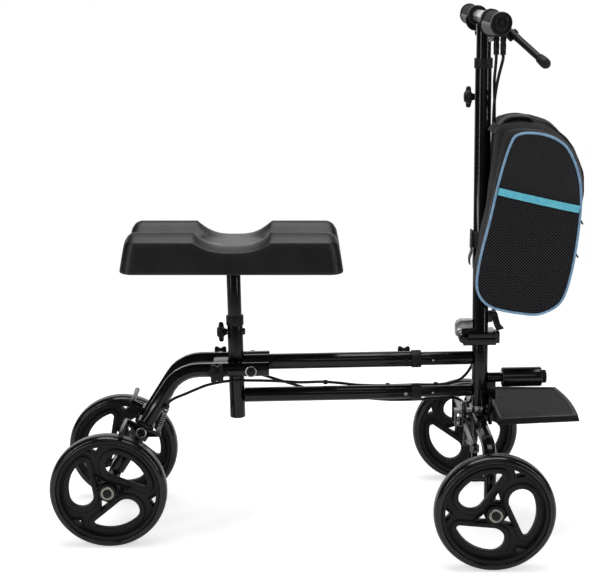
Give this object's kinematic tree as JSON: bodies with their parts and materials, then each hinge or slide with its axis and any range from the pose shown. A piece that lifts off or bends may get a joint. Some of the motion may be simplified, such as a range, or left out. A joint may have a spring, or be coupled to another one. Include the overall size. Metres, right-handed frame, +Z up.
{
  "type": "knee walker",
  "caption": "Steerable knee walker with moulded wheels, a ridged knee pad on an adjustable post, folding rear legs, a fold-down telescopic column, a hand brake and a soft carry bag.",
  "frame": {"origin": "centre of the overall box at ground level, under the frame between the axles", "axes": "+X forward, +Y to the rider's left, +Z up"},
  "size_m": [0.9124, 0.4452, 0.904],
  "materials": {
    "black_paint": "gloss black paint",
    "zinc": "bright zinc plate",
    "black_plastic": "satin black moulding",
    "black_rubber": "matt black rubber",
    "tyre_rubber": "satin black solid tyre",
    "pad_skin": "fine-grained black moulded skin",
    "bag_fabric": "black woven cloth and mesh",
    "chrome": "bright silver bar"
  },
  "bodies": {
    "rear_frame": {"seat_tube": "black_paint", "seat_tube_collar": "black_plastic", "upper_beam_sleeve": "black_paint", "lower_beam_sleeve": "black_paint", "upper_beam_collar": "black_plastic", "lower_beam_collar": "black_plastic", "leg_pivot_bolt": "black_plastic"},
    "rear_legs": {"rear_leg_left": "black_paint", "rear_leg_right": "black_paint", "rear_axle_beam": "black_paint", "rear_axle_shaft": "zinc"},
    "rear_right_wheel": {"rear_right_wheel": "black_plastic", "rear_right_tyre": "tyre_rubber"},
    "rear_left_wheel": {"rear_left_wheel": "black_plastic", "rear_left_tyre": "tyre_rubber"},
    "brake_arm_right": {"brake_arm_right": "black_plastic", "brake_spring_right": "zinc"},
    "brake_arm_left": {"brake_arm_left": "black_plastic", "brake_spring_left": "zinc"},
    "leg_knob_right": {"leg_knob_right": "black_plastic"},
    "leg_knob_left": {"leg_knob_left": "black_plastic"},
    "seat": {"knee_post": "black_paint", "pad_plate": "black_paint", "knee_pad": "pad_skin"},
    "seat_knob": {"seat_knob": "black_plastic"},
    "beam_knob": {"beam_knob": "black_plastic"},
    "front_frame": {"head_tube": "black_paint", "upper_beam_bar": "black_paint", "lower_beam_bar": "black_paint", "front_axle": "black_paint", "footplate": "black_plastic", "footplate_bracket": "black_paint", "front_grip": "black_rubber", "brake_cable_right": "black_rubber", "brake_cable_left": "black_rubber"},
    "steering": {"steering_stem": "zinc", "steering_arm": "zinc", "fold_base": "black_paint"},
    "tie_rod": {"tie_rod": "zinc"},
    "right_knuckle": {"right_knuckle": "black_paint", "front_right_axle_bolt": "zinc"},
    "left_knuckle": {"left_knuckle": "black_paint", "front_left_axle_bolt": "zinc"},
    "front_right_wheel": {"front_right_wheel": "black_plastic", "front_right_tyre": "tyre_rubber"},
    "front_left_wheel": {"front_left_wheel": "black_plastic", "front_left_tyre": "tyre_rubber"},
    "column": {"lower_column": "black_paint", "column_collar": "black_plastic", "hinge_strap": "zinc", "carry_bag": "bag_fabric"},
    "quick_release": {"quick_release_lever": "zinc"},
    "column_knob": {"column_knob": "black_plastic"},
    "handle": {"upper_column": "black_paint", "handlebar": "chrome", "grip_right": "black_rubber", "grip_left": "black_rubber", "grip_clamp_left": "black_plastic", "brake_lever_clamp": "black_plastic"},
    "brake_lever": {"brake_lever": "black_plastic"}
  },
  "joints": [
    {"name": "rear_legs_fold", "type": "hinge", "parent": "rear_frame", "child": "rear_legs", "pos_m": [-0.11397, 0, 0.29267], "axis": [0, -1, 0], "range_deg": [0, 95], "deforming": ["brake_cable_right", "brake_cable_left"]},
    {"name": "rear_right_wheel_spin", "type": "hinge", "parent": "rear_legs", "child": "rear_right_wheel", "pos_m": [-0.35622, -0.1065, 0.1], "axis": [0, 1, 0], "continuous": true},
    {"name": "rear_left_wheel_spin", "type": "hinge", "parent": "rear_legs", "child": "rear_left_wheel", "pos_m": [-0.35622, 0.1065, 0.1], "axis": [0, 1, 0], "continuous": true},
    {"name": "brake_arm_right_press", "type": "hinge", "parent": "rear_legs", "child": "brake_arm_right", "pos_m": [-0.30398, -0.055, 0.18409], "axis": [0, -1, 0], "range_deg": [0, 4.6], "deforming": ["brake_spring_right"]},
    {"name": "brake_arm_left_press", "type": "hinge", "parent": "rear_legs", "child": "brake_arm_left", "pos_m": [-0.30398, 0.055, 0.18409], "axis": [0, -1, 0], "range_deg": [0, 4.6], "deforming": ["brake_spring_left"]},
    {"name": "leg_knob_right_turn", "type": "hinge", "parent": "rear_legs", "child": "leg_knob_right", "pos_m": [-0.17166, -0.055, 0.29151], "axis": [0, -1, 0], "range_deg": [0, 360]},
    {"name": "leg_knob_left_turn", "type": "hinge", "parent": "rear_legs", "child": "leg_knob_left", "pos_m": [-0.17166, 0.055, 0.29151], "axis": [0, 1, 0], "range_deg": [0, 360]},
    {"name": "seat_height", "type": "slide", "parent": "rear_frame", "child": "seat", "axis": [-0.0201, 0, 0.9998], "range_m": [-0.085, 0.05]},
    {"name": "seat_knob_turn", "type": "hinge", "parent": "rear_frame", "child": "seat_knob", "pos_m": [-0.14244, 0, 0.35051], "axis": [-0.9998, 0, -0.0201], "range_deg": [0, 360]},
    {"name": "beam_knob_turn", "type": "hinge", "parent": "rear_frame", "child": "beam_knob", "pos_m": [0.15321, 0.02, 0.30103], "axis": [0, 1, 0], "range_deg": [0, 360]},
    {"name": "frame_length", "type": "slide", "parent": "rear_frame", "child": "front_frame", "axis": [0.9998, 0, 0.0201], "range_m": [-0.049, 0.049], "deforming": ["brake_cable_right", "brake_cable_left"]},
    {"name": "steering_turn", "type": "hinge", "parent": "front_frame", "child": "steering", "pos_m": [0.28651, 0, 0.18778], "axis": [-0.0201, 0, 0.9998], "range_deg": [-28, 28], "deforming": ["brake_cable_right", "brake_cable_left"]},
    {"name": "tie_rod_swing", "type": "hinge", "parent": "steering", "child": "tie_rod", "pos_m": [0.25998, 0, 0.18945], "axis": [-0.0201, 0, 0.9998], "range_deg": [-28.5, 28.5]},
    {"name": "right_knuckle_turn", "type": "hinge", "parent": "front_frame", "child": "right_knuckle", "pos_m": [0.28828, -0.145, 0.1], "axis": [-0.0201, 0, 0.9998], "range_deg": [-28.5, 28.5]},
    {"name": "left_knuckle_turn", "type": "hinge", "parent": "front_frame", "child": "left_knuckle", "pos_m": [0.28828, 0.145, 0.1], "axis": [-0.0201, 0, 0.9998], "range_deg": [-28.5, 28.5]},
    {"name": "front_right_wheel_spin", "type": "hinge", "parent": "right_knuckle", "child": "front_right_wheel", "pos_m": [0.28828, -0.2008, 0.1], "axis": [0, 1, 0], "continuous": true},
    {"name": "front_left_wheel_spin", "type": "hinge", "parent": "left_knuckle", "child": "front_left_wheel", "pos_m": [0.28828, 0.2008, 0.1], "axis": [0, 1, 0], "continuous": true},
    {"name": "column_fold", "type": "hinge", "parent": "steering", "child": "column", "pos_m": [0.25181, 0, 0.34222], "axis": [0, -1, 0], "range_deg": [0, 42], "deforming": ["brake_cable_right", "brake_cable_left"]},
    {"name": "quick_release_swing", "type": "hinge", "parent": "column", "child": "quick_release", "pos_m": [0.30579, 0, 0.38341], "axis": [0, -1, 0], "range_deg": [0, 90]},
    {"name": "column_knob_turn", "type": "hinge", "parent": "column", "child": "column_knob", "pos_m": [0.27509, 0, 0.75687], "axis": [-0.9998, 0, -0.0201], "range_deg": [0, 360]},
    {"name": "handle_height", "type": "slide", "parent": "column", "child": "handle", "axis": [-0.0201, 0, 0.9998], "range_m": [-0.05, 0.1], "deforming": ["brake_cable_right", "brake_cable_left"]},
    {"name": "brake_lever_pull", "type": "hinge", "parent": "handle", "child": "brake_lever", "pos_m": [0.30806, -0.08195, 0.86368], "axis": [-0.7175, 0, -0.6965], "range_deg": [0, 25], "stiffness_Nm_per_rad": 0.5, "springref_deg": -11.46}
  ],
  "couplings": [
    {"joint": "tie_rod_swing", "follows": "steering_turn", "ratio": -1},
    {"joint": "right_knuckle_turn", "follows": "steering_turn", "ratio": 1},
    {"joint": "left_knuckle_turn", "follows": "steering_turn", "ratio": 1},
    {"joint": "brake_arm_right_press", "follows": "brake_lever_pull", "ratio": 0.18},
    {"joint": "brake_arm_left_press", "follows": "brake_lever_pull", "ratio": 0.18}
  ]
}
